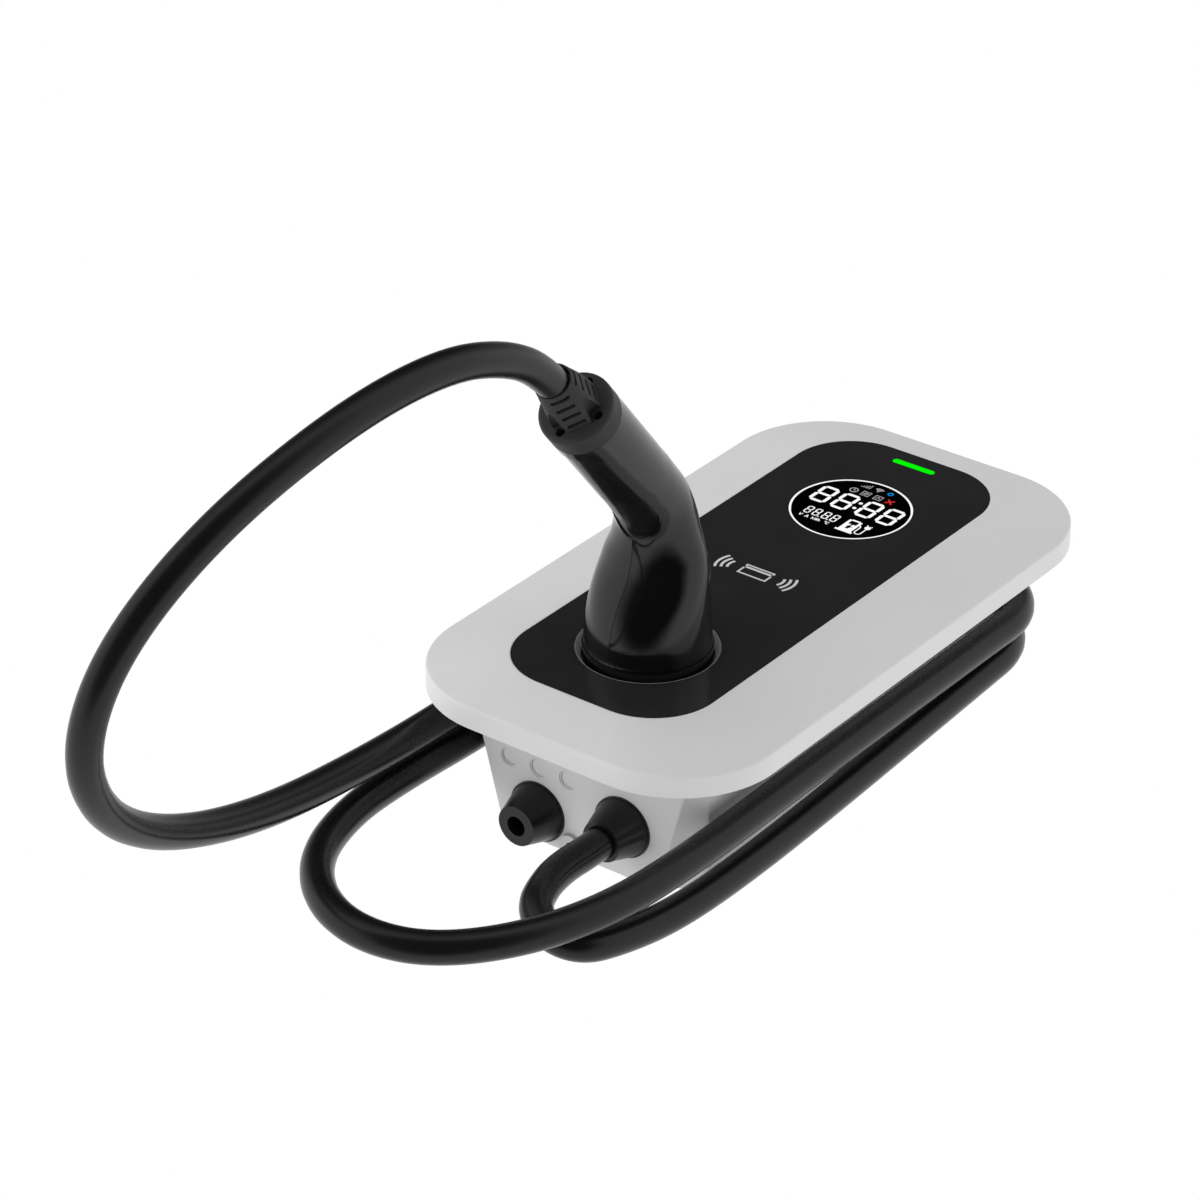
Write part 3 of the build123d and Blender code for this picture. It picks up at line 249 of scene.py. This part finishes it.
# Finishes of the outside
cover_plastic = moulded(
    "cover_plastic", (0.664, 0.664, 0.659),
    vary=0.012, rough=0.46, rough_vary=0.05, specular=0.35, grain=0.10)
housing_plastic = moulded(
    "housing_plastic", (0.600, 0.600, 0.598),
    vary=0.014, rough=0.52, rough_vary=0.05, specular=0.3, grain=0.12)
gland_plastic = moulded(
    "gland_plastic", (0.0075, 0.0075, 0.0078),
    vary=0.10, rough=0.33, rough_vary=0.05, specular=0.30, grain=0.06)
panel_plastic = moulded(
    "panel_plastic", (0.0208, 0.0208, 0.0213),
    vary=0.08, rough=0.06, rough_vary=0.02, specular=0.40)
window_plastic = moulded(
    "window_plastic", (0.0008, 0.0008, 0.0009),
    vary=0.10, rough=0.10, rough_vary=0.02, specular=0.0)
bezel_plastic = moulded(
    "bezel_plastic", (0.310, 0.310, 0.312),
    vary=0.03, rough=0.38, rough_vary=0.04, specular=0.4, grain=0.08)
bracket_paint = moulded(
    "bracket_paint", (0.520, 0.520, 0.518),
    vary=0.015, rough=0.45, rough_vary=0.05, specular=0.30, grain=0.15)
ring_print = lit_ring("ring_print")
light_green = lit("light_green", (0.0, 1.0, 0.0), base=0.0, specular=0.0)

# Finishes of the plug and the cord
plug_plastic = moulded(
    "plug_plastic", (0.0042, 0.0042, 0.0046),
    vary=0.12, rough=0.13, rough_vary=0.03, specular=0.45)
grip_rubber = moulded(
    "grip_rubber", (0.0045, 0.0045, 0.0048),
    vary=0.10, rough=0.20, rough_vary=0.03, specular=0.40, grain=0.02, grain_scale=3200.0)
boot_rubber = moulded(
    "boot_rubber", (0.0330, 0.0330, 0.0335),
    vary=0.06, rough=0.55, rough_vary=0.05, specular=0.12, grain=0.10)
collar_plastic = moulded(
    "collar_plastic", (0.0290, 0.0290, 0.0295),
    vary=0.06, rough=0.50, rough_vary=0.05, specular=0.16, grain=0.08)
cord_rubber = moulded(
    "cord_rubber", (0.0062, 0.0062, 0.0065),
    vary=0.12, rough=0.28, rough_vary=0.02, specular=0.31, patch=60.0)

# Finishes of the inside
black_plastic = moulded(
    "black_plastic", (0.010, 0.010, 0.011),
    vary=0.10, rough=0.40, rough_vary=0.06, specular=0.4, grain=0.15)
gasket_rubber = moulded(
    "gasket_rubber", (0.020, 0.020, 0.021),
    vary=0.1, rough=0.7, rough_vary=0.08, specular=0.3, grain=0.2)
terminal_plastic = moulded(
    "terminal_plastic", (0.05, 0.16, 0.06),
    vary=0.05, rough=0.45, rough_vary=0.05, specular=0.4, grain=0.1)
relay_plastic = moulded(
    "relay_plastic", (0.016, 0.016, 0.018),
    vary=0.08, rough=0.4, rough_vary=0.05, specular=0.4, grain=0.1)
steel = metal("steel", (0.60, 0.60, 0.58), rough=0.36, brush=(1.0, 1.0, 14.0))
iron = metal("iron", (0.22, 0.21, 0.20), rough=0.5, brush=(14.0, 1.0, 1.0))
can = metal("can", (0.72, 0.72, 0.74), rough=0.28, brush=(1.0, 18.0, 1.0))
brass = metal("brass", (0.72, 0.60, 0.36), rough=0.26, brush=(1.0, 12.0, 1.0))
board = circuit("board", mask=(0.012, 0.10, 0.035), copper=(0.03, 0.17, 0.06))

finishes = {
    "front_cover": cover_plastic, "rear_housing": housing_plastic, "front_panel": panel_plastic,
    "display_window": window_plastic, "display_ring": ring_print, "status_light": light_green,
    "socket_bezel": bezel_plastic, "supply_gland": gland_plastic, "output_gland": gland_plastic,
    "gland_nuts": gland_plastic, "parking_socket": black_plastic, "plug_nose": plug_plastic,
    "handle_left": plug_plastic, "handle_right": plug_plastic, "rear_collar": collar_plastic,
    "finger_grip": grip_rubber, "strain_relief": boot_rubber, "charging_cord": cord_rubber,
    "cover_gasket": gasket_rubber, "cover_screws": steel, "board_screws": steel, "display_screws": steel,
    "socket_screws": steel, "collar_screws": steel, "wall_bracket": bracket_paint, "wireless_module": steel,
    "main_board": board, "display_board": board, "card_antenna": board,
    "supply_terminals": terminal_plastic, "output_terminals": terminal_plastic,
    "power_relays": relay_plastic, "leakage_sensor": relay_plastic, "transformer": iron,
    "filter_capacitors": can, "contact_carrier": black_plastic, "contact_sleeves": brass,
}
for name, node in nodes.items():
    node.data.materials.clear()
    node.data.materials.append(finishes[name])


# Charging cord: the route of the CAD tube in millimetres, with points near the housing's corners on the long
# straight runs
CORD_RADIUS = 8.5
ROUTE = [
    (27, -29.5, -160), (27, -29.5, -179), (26, -30, -198), (28, -29, -215), (34, -27, -231),
    (49, -22, -239), (65, -18, -233), (73, -16, -212), (79, -14, -182), (82, -14, -140),
    (82, -15, -66), (82.8, -23.8, 83), (83, -26, 121), (56, -26, 148), (18, -26, 148), (-18, -26, 148),
    (-56, -26, 148), (-83, -27, 121), (-82.7, -27.9, 83), (-81, -33, -120), (-81, -38, -190),
    (-78, -40, -236), (-65, -40, -276), (-38, -40, -303), (-4, -40, -313), (30, -40, -303),
    (59, -40, -269), (77, -41, -223), (83, -43, -168), (84.5, -45.5, -60), (84.9, -45.1, 87),
    (85, -45, 125), (58, -45, 152), (20, -45, 152), (-20, -45, 152), (-58, -45, 152), (-85, -46, 125),
    (-84.7, -47.2, 87), (-83, -54, -130), (-81, -58, -210), (-76, -72, -300), (-70, -100, -373),
    (-62, -139, -422), (-53, -187, -442), (-42, -236, -427), (-27, -279, -378), (-11, -308, -306),
    (-2, -314, -246), (0, -300.5, -202.5), (0, -281.5, -175.5), (0, -259.9, -157.8),
]
curve = bpy.data.curves.new("cord", "CURVE")
curve.dimensions = "3D"
spline = curve.splines.new("NURBS")
spline.points.add(len(ROUTE) - 1)
for point, (x, y, z) in zip(spline.points, ROUTE):
    point.co = (x * MM, y * MM, z * MM, 1.0)
spline.order_u = 3
spline.use_endpoint_u = True
spline.use_smooth = True
curve.resolution_u = 10
curve.bevel_depth = CORD_RADIUS * MM
curve.bevel_resolution = 7
curve.use_fill_caps = True
cord = bpy.data.objects.new("cord", curve)
scene.collection.objects.link(cord)
cord.data.materials.append(cord_rubber)
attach(cord, "root")
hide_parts("charging_cord")


# Thin prints on the panel, drawn in millimetres across and up from the panel's middle
PRINT_SUNK = 0.02
PRINT_PROUD = 0.05
DISC_STEPS = 16


class Print:
    """A drawing made of closed plates that are a few hundredths of a millimetre thick."""

    def __init__(self):
        self.verts = []
        self.faces = []

    def plate(self, points):
        """A plate over a convex outline."""
        area = sum(a[0] * b[1] - b[0] * a[1] for a, b in zip(points, points[1:] + points[:1]))
        if area < 0:
            points = points[::-1]
        first = len(self.verts)
        count = len(points)
        for height in (-PRINT_SUNK, PRINT_PROUD):
            for x, z in points:
                self.verts.append((x * MM, PANEL_FACE - height * MM, z * MM))
        self.faces.append([first + count + n for n in range(count)])
        self.faces.append([first + n for n in reversed(range(count))])
        for n in range(count):
            m = (n + 1) % count
            self.faces.append([first + n, first + m, first + count + m, first + count + n])

    def block(self, x0, z0, x1, z1):
        """A rectangle between two corners."""
        self.plate([(x0, z0), (x1, z0), (x1, z1), (x0, z1)])

    def bar(self, x0, z0, x1, z1, width, tip=0.0):
        """A straight stroke, with pointed ends where it has a tip."""
        a, b = Vector((x0, z0)), Vector((x1, z1))
        along = (b - a).normalized()
        side = Vector((-along.y, along.x)) * width / 2.0
        if tip > 0.0:
            inset = along * tip
            shape = [a, a + inset - side, b - inset - side, b, b - inset + side, a + inset + side]
        else:
            shape = [a - side, b - side, b + side, a + side]
        self.plate([(p.x, p.y) for p in shape])

    def arc(self, cx, cz, radius, width, start, end, steps):
        """A curved stroke between two angles in degrees, in short plates that share their ends."""
        inner, outer = radius - width / 2.0, radius + width / 2.0
        for n in range(steps):
            t0 = math.radians(start + (end - start) * n / steps)
            t1 = math.radians(start + (end - start) * (n + 1) / steps)
            corners = [(inner, t0), (outer, t0), (outer, t1), (inner, t1)]
            self.plate([(cx + r * math.cos(t), cz + r * math.sin(t)) for r, t in corners])

    def disc(self, cx, cz, radius):
        turn = [2.0 * math.pi * n / DISC_STEPS for n in range(DISC_STEPS)]
        self.plate([(cx + radius * math.cos(t), cz + radius * math.sin(t)) for t in turn])

    def digit(self, x0, z0, width, height, stroke, gap):
        """An eight of seven bars with pointed ends."""
        half = stroke / 2.0
        left, right = x0 + half, x0 + width - half
        low, mid, top = z0 + half, z0 + height / 2.0, z0 + height - half
        for z in (low, mid, top):
            self.bar(left + gap, z, right - gap, z, stroke, half)
        for x in (left, right):
            self.bar(x, low + gap, x, mid - gap, stroke, half)
            self.bar(x, mid + gap, x, top - gap, stroke, half)

    def outline(self, x0, z0, x1, z1, stroke):
        """A box outline of four bars."""
        half = stroke / 2.0
        for z in (z0 + half, z1 - half):
            self.bar(x0, z, x1, z, stroke)
        for x in (x0 + half, x1 - half):
            self.bar(x, z0 + stroke, x, z1 - stroke, stroke)

    def piece(self, name, mat):
        """The finished drawing as a piece of the scene."""
        mesh = bpy.data.meshes.new(name)
        mesh.from_pydata(self.verts, [], self.faces)
        mesh.update()
        mesh.materials.append(mat)
        obj = bpy.data.objects.new(name, mesh)
        scene.collection.objects.link(obj)
        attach(obj, "root")


white_lit = lit("white_lit", (0.92, 0.92, 0.92), base=0.1, specular=0.1)
grey_lit = lit("grey_lit", (0.36, 0.36, 0.36), base=0.1, specular=0.1)
blue_lit = lit("blue_lit", (0.0, 0.27, 0.80), base=0.1, specular=0.1)
red_lit = lit("red_lit", (0.62, 0.03, 0.02), base=0.1, specular=0.1)
panel_print = moulded("panel_print", (0.62, 0.62, 0.62), vary=0.03, rough=0.4, rough_vary=0.05, specular=0.2)


# Figures of the display: a clock, and a meter with decimal points
CLOCK_PLACES = (-25.5, -12.2, 3.2, 16.4)
CLOCK_DIGIT = {"z0": 80.4, "width": 10.4, "height": 17.9, "stroke": 2.0, "gap": 0.16}
CLOCK_DOTS = ((0.8, 92.5), (0.8, 86.4))
CLOCK_DOT_RADIUS = 1.15
METER_PLACES = (-19.1, -13.8, -8.0, -2.6)
METER_DIGIT = {"z0": 66.9, "width": 3.7, "height": 7.7, "stroke": 0.74, "gap": 0.10}
METER_DOTS = ((-9.3, 67.3), (-3.6, 67.3))
METER_DOT_RADIUS = 0.5


def draw_figures(show):
    for x in CLOCK_PLACES:
        show.digit(x, **CLOCK_DIGIT)
    for x, z in CLOCK_DOTS:
        show.disc(x, z, CLOCK_DOT_RADIUS)
    for x in METER_PLACES:
        show.digit(x, **METER_DIGIT)
    for x, z in METER_DOTS:
        show.disc(x, z, METER_DOT_RADIUS)


# Charging post of the display: walls and head round a window, a body with a flash left open in it, and a foot
POST_LEFT, POST_RIGHT = 6.1, 14.0
POST_IN_LEFT, POST_IN_RIGHT = 7.6, 12.5
POST_LOW, POST_SILL, POST_TOP = 63.4, 70.6, 75.0
POST_HEAD = (74.3, 75.6)
POST_FOOT = (4.8, 61.8, 15.2)
FLASH_LOW, FLASH_MID = 66.0, 68.0
BESIDE_FLASH = [
    [(POST_IN_LEFT, FLASH_LOW), (9.1, FLASH_LOW), (8.6, 67.9), (9.9, POST_SILL), (POST_IN_LEFT, POST_SILL)],
    [(10.9, POST_SILL), (10.3, 68.6), (11.5, 68.6), (POST_IN_RIGHT, FLASH_MID), (POST_IN_RIGHT, POST_SILL)],
    [(POST_IN_LEFT, POST_LOW), (POST_IN_RIGHT, POST_LOW), (POST_IN_RIGHT, FLASH_LOW), (9.4, 65.4),
     (POST_IN_LEFT, FLASH_LOW)],
    [(10.4, 65.8), (POST_IN_RIGHT, FLASH_LOW), (POST_IN_RIGHT, FLASH_MID), (11.4, 67.9)],
]
HOSE_WIDTH = 0.7
HOSE_DOWN = ((14.0, 72.6, 15.6, 70.4), (15.5, 70.6, 15.5, 65.4))
HOSE_BEND = {"cx": 17.3, "cz": 65.4, "radius": 1.8, "start": 180, "end": 360, "steps": 10}
HOSE_UP = (19.1, 65.2, 19.1, 71.0)
POST_PLUG = (19.0, 72.2, 1.75)
PIN_WIDTH = 0.6
PINS = ((18.2, 73.2, 17.4, 75.0), (19.8, 73.4, 20.6, 74.6))


def draw_post(show):
    show.block(POST_LEFT, POST_LOW, POST_IN_LEFT, POST_TOP)
    show.block(POST_IN_RIGHT, POST_LOW, POST_RIGHT, POST_TOP)
    show.block(POST_IN_LEFT, POST_HEAD[0], POST_IN_RIGHT, POST_HEAD[1])
    for outline in BESIDE_FLASH:
        show.plate(outline)
    foot_left, foot_low, foot_right = POST_FOOT
    show.block(foot_left, foot_low, foot_right, POST_LOW)
    for stroke in HOSE_DOWN:
        show.bar(*stroke, HOSE_WIDTH)
    show.arc(**HOSE_BEND, width=HOSE_WIDTH)
    show.bar(*HOSE_UP, HOSE_WIDTH)
    show.disc(*POST_PLUG)
    for stroke in PINS:
        show.bar(*stroke, PIN_WIDTH)


# Unit signs of the display: each straight stroke has its two ends and its width
UNIT_STROKES = {
    "volt": [(-19.0, 65.4, -18.1, 63.0, 0.45), (-17.2, 65.4, -18.1, 63.0, 0.45)],
    "ampere": [(-15.0, 62.9, -14.1, 65.4, 0.45), (-13.2, 62.9, -14.1, 65.4, 0.45),
               (-14.8, 63.7, -13.4, 63.7, 0.4)],
    "kilo": [(-10.9, 62.9, -10.9, 65.4, 0.4), (-10.7, 63.7, -9.8, 64.6, 0.35),
             (-10.4, 64.0, -9.7, 62.9, 0.35)],
    "watt": [(-9.3, 65.3, -8.85, 62.9, 0.35), (-8.35, 65.3, -8.8, 62.9, 0.35),
             (-8.3, 65.3, -7.85, 62.9, 0.35), (-7.35, 65.3, -7.8, 62.9, 0.35)],
    "hour": [(-6.9, 62.9, -6.9, 65.4, 0.4), (-6.7, 64.2, -5.9, 64.2, 0.35), (-5.9, 62.9, -5.9, 64.2, 0.4)],
}
CELSIUS_ARC = {"cx": -1.0, "cz": 64.1, "radius": 1.05, "width": 0.45, "start": 50, "end": 310, "steps": 10}
DEGREE_RING = {"cx": -2.8, "cz": 65.1, "radius": 0.4, "width": 0.25, "start": 0, "end": 360, "steps": 8}


def draw_units(show):
    for strokes in UNIT_STROKES.values():
        for stroke in strokes:
            show.bar(*stroke)
    show.arc(**CELSIUS_ARC)
    show.arc(**DEGREE_RING)


figures = Print()
draw_figures(figures)
draw_post(figures)
draw_units(figures)
figures.piece("display_figures", white_lit)


# Grey marks of the display: signal bars, a fan of arcs, a clock, two split boxes and a box with a peak in it
SIGNAL_BARS = 5
SIGNAL_LEFT, SIGNAL_PITCH, SIGNAL_WIDTH = -9.8, 1.25, 0.55
SIGNAL_LOW, SIGNAL_FIRST_TOP, SIGNAL_RISE = 108.4, 109.2, 0.85
FAN_X, FAN_Z, FAN_DOT_Z = 0.6, 108.6, 108.7
FAN_RADII = (1.2, 2.3, 3.4)
FAN_STROKE = {"width": 0.75, "start": 45, "end": 135, "steps": 8}
FAN_DOT_RADIUS = 0.5
DIAL_X, DIAL_Z = -10.6, 102.9
DIAL_RING = {"radius": 2.2, "width": 0.7, "start": 0, "end": 360, "steps": 20}
HAND_TIPS = ((DIAL_X, 104.4), (-9.5, 102.2))
HAND_WIDTH = 0.5
BOX_STROKE = 0.48
SPLIT_BOXES = (-5.6, -2.7)
SPLIT_WIDTH, SPLIT_LOW, SPLIT_MID, SPLIT_TOP = 2.3, 100.5, 102.95, 105.4
PEAK_BOX = (2.3, 100.6, 7.2, 105.3)
PEAK_TOP = (4.75, 104.2)
PEAK_FEET = ((3.6, 102.0), (5.9, 102.0))


def draw_marks(marks):
    for n in range(SIGNAL_BARS):
        x = SIGNAL_LEFT + SIGNAL_PITCH * n
        marks.bar(x, SIGNAL_LOW, x, SIGNAL_FIRST_TOP + SIGNAL_RISE * n, SIGNAL_WIDTH)
    for radius in FAN_RADII:
        marks.arc(FAN_X, FAN_Z, radius, **FAN_STROKE)
    marks.disc(FAN_X, FAN_DOT_Z, FAN_DOT_RADIUS)
    marks.arc(DIAL_X, DIAL_Z, **DIAL_RING)
    for tip in HAND_TIPS:
        marks.bar(DIAL_X, DIAL_Z, *tip, HAND_WIDTH)
    for x in SPLIT_BOXES:
        marks.outline(x, SPLIT_LOW, x + SPLIT_WIDTH, SPLIT_TOP, BOX_STROKE)
        marks.bar(x + BOX_STROKE, SPLIT_MID, x + SPLIT_WIDTH - BOX_STROKE, SPLIT_MID, BOX_STROKE)
    marks.outline(*PEAK_BOX, BOX_STROKE)
    for foot in PEAK_FEET:
        marks.bar(*foot, *PEAK_TOP, BOX_STROKE)


marks = Print()
draw_marks(marks)
marks.piece("display_marks", grey_lit)


# Blue ring and red cross of the display
BLUE_RING = {"cx": 7.7, "cz": 110.4, "radius": 1.35, "width": 0.7, "start": 0, "end": 360, "steps": 16}
CROSS_LEFT, CROSS_LOW, CROSS_RIGHT, CROSS_TOP = 10.2, 100.9, 14.2, 105.0
CROSS_WIDTH = 1.0
blue = Print()
blue.arc(**BLUE_RING)
blue.piece("display_blue_mark", blue_lit)
red = Print()
red.bar(CROSS_LEFT, CROSS_LOW, CROSS_RIGHT, CROSS_TOP, CROSS_WIDTH)
red.bar(CROSS_LEFT, CROSS_TOP, CROSS_RIGHT, CROSS_LOW, CROSS_WIDTH)
red.piece("display_red_mark", red_lit)


# Card reader mark on the panel: a plain card between two sets of arcs
WAVE_X, WAVE_Z = 9.6, -1.8
WAVE_RADII = (7.0, 10.2, 13.4)
WAVE_WIDTH, WAVE_SPREAD, WAVE_STEPS = 1.5, 31, 10
CARD_HALF, CARD_LOW, CARD_TOP, CARD_STROKE = 9.0, -6.6, 3.4, 1.1
STRIPE_Z, STRIPE_WIDTH = 0.6, 1.6
reader = Print()
for radius in WAVE_RADII:
    for x, middle in ((-WAVE_X, 180), (WAVE_X, 0)):
        reader.arc(x, WAVE_Z, radius, WAVE_WIDTH, middle - WAVE_SPREAD, middle + WAVE_SPREAD, WAVE_STEPS)
reader.outline(-CARD_HALF, CARD_LOW, CARD_HALF, CARD_TOP, CARD_STROKE)
reader.bar(-CARD_HALF, STRIPE_Z, CARD_HALF, STRIPE_Z, STRIPE_WIDTH)
reader.piece("card_mark", panel_print)


# World: soft light from all round, white where the camera, gloss or glass sees it. Two dark flags are fixed
# in it. The low one, in front on the right, dims the light and shows in the gloss. The high one, in front on
# the left, only shows in the gloss. An edge gives the cosine of the angle from a flag's middle, where the
# flag starts and where it is full
WHITE = (1.0, 1.0, 1.0, 1.0)
AMBIENT_LEVEL = 0.98
AMBIENT_LOSS = 0.49
LOW_FLAG, LOW_FLAG_EDGE = (0.412, -0.527, -0.743), (0.44, 0.81)
HIGH_FLAG, HIGH_FLAG_EDGE = (-0.570, -0.520, 0.636), (0.50, 1.01)


def dark_flag(tree, direction, middle, edge):
    """How far a direction lies inside a dark flag, from 0 to 1."""
    facing = vector_node(tree, "DOT_PRODUCT", direction, middle).outputs["Value"]
    return range_node(tree, facing, 0.0, 1.0, *edge, smooth=True)


def light_world(world):
    world.use_nodes = True
    tree = world.node_tree
    tree.nodes.clear()
    rays = tree.nodes.new("ShaderNodeLightPath").outputs
    direction = tree.nodes.new("ShaderNodeTexCoord").outputs["Generated"]
    low_shade = dark_flag(tree, direction, LOW_FLAG, LOW_FLAG_EDGE)
    high_shade = dark_flag(tree, direction, HIGH_FLAG, HIGH_FLAG_EDGE)
    ambient_strength = math_node(tree, "MULTIPLY_ADD", low_shade, -AMBIENT_LOSS, AMBIENT_LEVEL)
    ambient = add_node(tree, "ShaderNodeBackground", {"Color": WHITE, "Strength": ambient_strength})
    shade = math_node(tree, "MAXIMUM", low_shade, high_shade)
    shade_in_gloss = math_node(tree, "MULTIPLY", shade, rays["Is Glossy Ray"])
    white_strength = math_node(tree, "SUBTRACT", 1.0, shade_in_gloss)
    white = add_node(tree, "ShaderNodeBackground", {"Color": WHITE, "Strength": white_strength})
    seen = math_node(tree, "MAXIMUM", rays["Is Camera Ray"], rays["Is Glossy Ray"])
    seen = math_node(tree, "MAXIMUM", seen, rays["Is Transmission Ray"])
    mix = add_node(tree, "ShaderNodeMixShader", {
        "Fac": seen,
        1: ambient.outputs["Background"],
        2: white.outputs["Background"],
    })
    add_node(tree, "ShaderNodeOutputWorld", {"Surface": mix.outputs["Shader"]})


scene.world = bpy.data.worlds.new("studio")
light_world(scene.world)


# Soft boxes, in metres and watts: in front on the left, on the right a little behind, and below
SOFT_BOXES = [
    {"name": "front_box", "place": (-1.4, -1.9, 0.9), "target": (0.0, -0.08, 0.0),
     "side": 1.8, "power": 5.0},
    {"name": "right_box", "place": (2.2, 0.6, 0.9), "target": (0.0, -0.08, -0.05),
     "side": 1.2, "power": 10.0},
    {"name": "low_box", "place": (-0.9, -0.5, -2.1), "target": (0.0, -0.08, -0.1),
     "side": 1.4, "power": 23.0},
]


def soft_box(name, place, target, side, power):
    """A square lamp that faces its target and doesn't show in the gloss."""
    data = bpy.data.lights.new(name, "AREA")
    data.shape = "RECTANGLE"
    data.size = side
    data.size_y = side
    data.energy = power
    lamp = bpy.data.objects.new(name, data)
    scene.collection.objects.link(lamp)
    lamp.location = place
    lamp.rotation_euler = (Vector(target) - Vector(place)).to_track_quat("-Z", "Y").to_euler()
    lamp.visible_glossy = False


for box in SOFT_BOXES:
    soft_box(**box)
